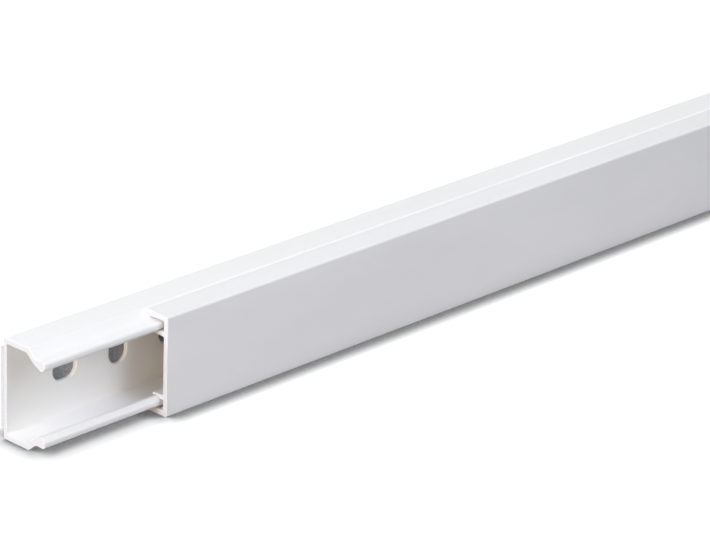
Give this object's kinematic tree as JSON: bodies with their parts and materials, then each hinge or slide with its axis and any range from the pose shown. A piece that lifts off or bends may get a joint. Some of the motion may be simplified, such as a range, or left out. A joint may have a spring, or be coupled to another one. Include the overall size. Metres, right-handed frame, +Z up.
{
  "type": "cable trunking",
  "caption": "Rectangular plastic cable trunking with a slotted base, a clip-on lid slid part of the way along, and foam tape with its liner on the back.",
  "frame": {"origin": "middle of the whole object's footprint, on the floor it stands on", "axes": "+X along the trunking from the base's near end to the lid's far end; +Z up the 38 mm height of the section; +Y from the lid's face to the back that goes against the wall"},
  "size_m": [2.0534, 0.0264, 0.038],
  "materials": {
    "base_pvc": "smooth white extruded rigid PVC, satin to semi-gloss",
    "lid_pvc": "smooth white extruded rigid PVC, satin to semi-gloss",
    "foam": "grey adhesive face on closed-cell foam, matt and mottled",
    "liner": "coated paper, pale blue white"
  },
  "bodies": {
    "base": {"base_channel": "base_pvc", "foam_tape": "foam", "release_liner": "liner"},
    "lid": {"lid": "lid_pvc"}
  },
  "joints": [
    {"name": "lid_slide", "type": "slide", "parent": "base", "child": "lid", "axis": [1, 0, 0], "range_m": [-0.0534, 1.95]}
  ]
}
